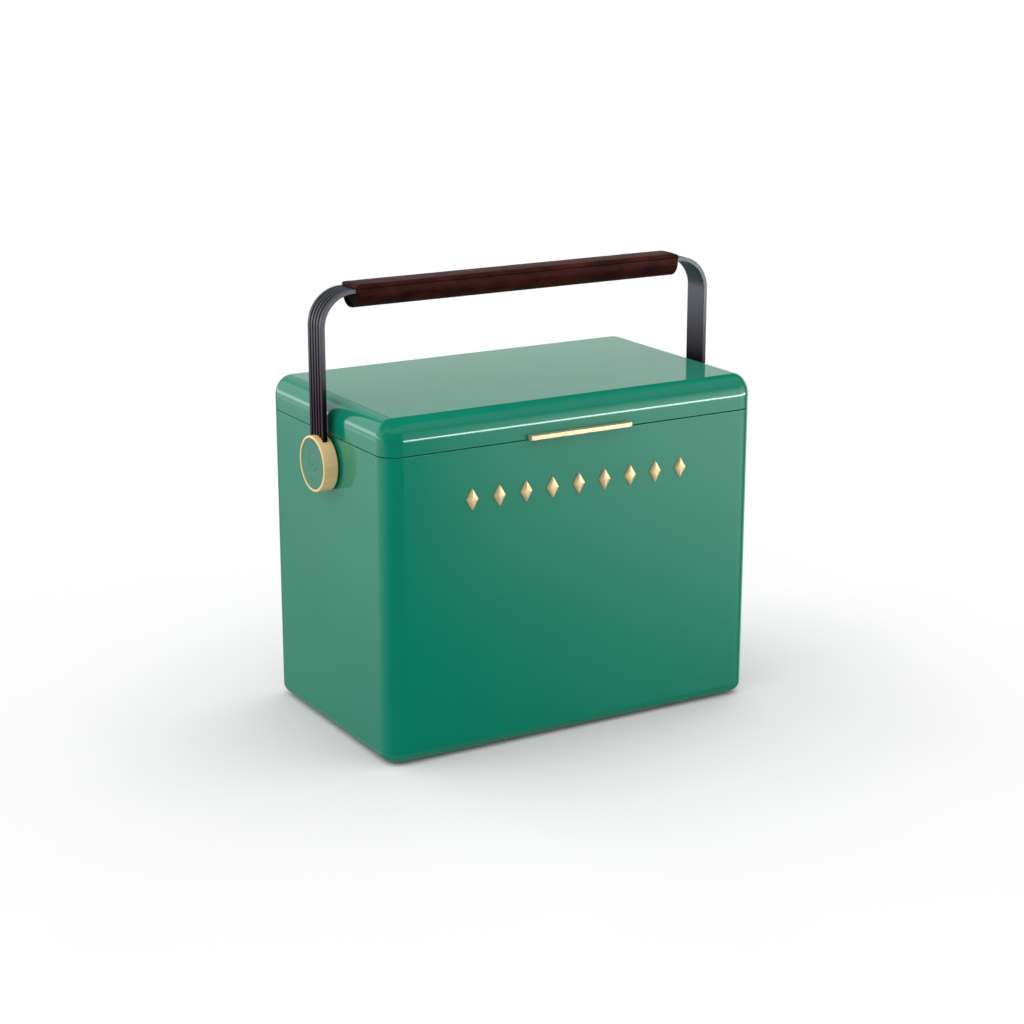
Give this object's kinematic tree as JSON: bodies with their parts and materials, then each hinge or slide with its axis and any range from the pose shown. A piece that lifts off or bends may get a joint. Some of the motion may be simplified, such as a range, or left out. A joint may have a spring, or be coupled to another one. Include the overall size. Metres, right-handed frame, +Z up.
{
  "type": "insulated cooler chest",
  "caption": "Insulated drinks cooler chest with rounded glossy walls, a rear-hinged lid, a leather-gripped swing handle on round brass side hubs, and a brass pull bar.",
  "frame": {"origin": "middle of the base, on the ground under the feet", "axes": "+Z up, +X to the right along the chest's width and the handle's axis, front face with the pull bar towards -Y"},
  "size_m": [0.4116, 0.2416, 0.4064],
  "materials": {
    "green_gloss": "gloss",
    "green_badge": "satin",
    "foam": "matte",
    "white_liner": "satin",
    "magnet_steel": "satin",
    "foot_rubber": "matte",
    "seal_rubber": "matte",
    "steel_screws": "satin",
    "brass_trim": "satin",
    "brass_hub": "satin",
    "hinge_steel": "satin",
    "plate_steel": "satin",
    "washer_nylon": "matte",
    "dark_strip": "satin",
    "grip_core": "matte",
    "dark_leather": "satin",
    "bush_bronze": "satin"
  },
  "bodies": {
    "chest": {"outer_shell": "green_gloss", "body_foam": "foam", "inner_tub": "white_liner", "rim_magnets": "magnet_steel", "feet": "foot_rubber", "foot_screws": "steel_screws", "front_studs": "brass_trim", "hinge_body_leaves": "hinge_steel", "hinge_pins": "hinge_steel", "hinge_body_screws": "steel_screws", "hinge_anchor_plates": "plate_steel", "pivot_bolts": "steel_screws", "pivot_nuts": "steel_screws", "pivot_plates": "plate_steel", "slip_washers": "washer_nylon"},
    "lid": {"lid_shell": "green_gloss", "lid_foam": "foam", "lid_tray": "white_liner", "lid_seal": "seal_rubber", "lid_strikes": "magnet_steel", "lid_pull": "brass_trim", "pull_screws": "steel_screws", "hinge_lid_leaves": "hinge_steel", "hinge_lid_screws": "steel_screws", "hinge_lid_anchors": "plate_steel"},
    "handle": {"handle_strip": "dark_strip", "grip_core": "grip_core", "grip_wrap": "dark_leather", "grip_pad": "dark_leather", "grip_screws": "steel_screws", "hub_left": "brass_hub", "hub_right": "brass_hub", "hub_badge_left": "green_badge", "hub_badge_right": "green_badge", "hub_bushes": "bush_bronze", "hub_screws": "steel_screws"}
  },
  "joints": [
    {"name": "lid_hinge", "type": "hinge", "parent": "chest", "child": "lid", "pos_m": [0, 0.118, 0.276], "axis": [-1, 0, 0], "range_deg": [0, 26]},
    {"name": "handle_swing", "type": "hinge", "parent": "chest", "child": "handle", "pos_m": [0, -0.007, 0.251], "axis": [1, 0, 0], "range_deg": [-110, 122]}
  ]
}
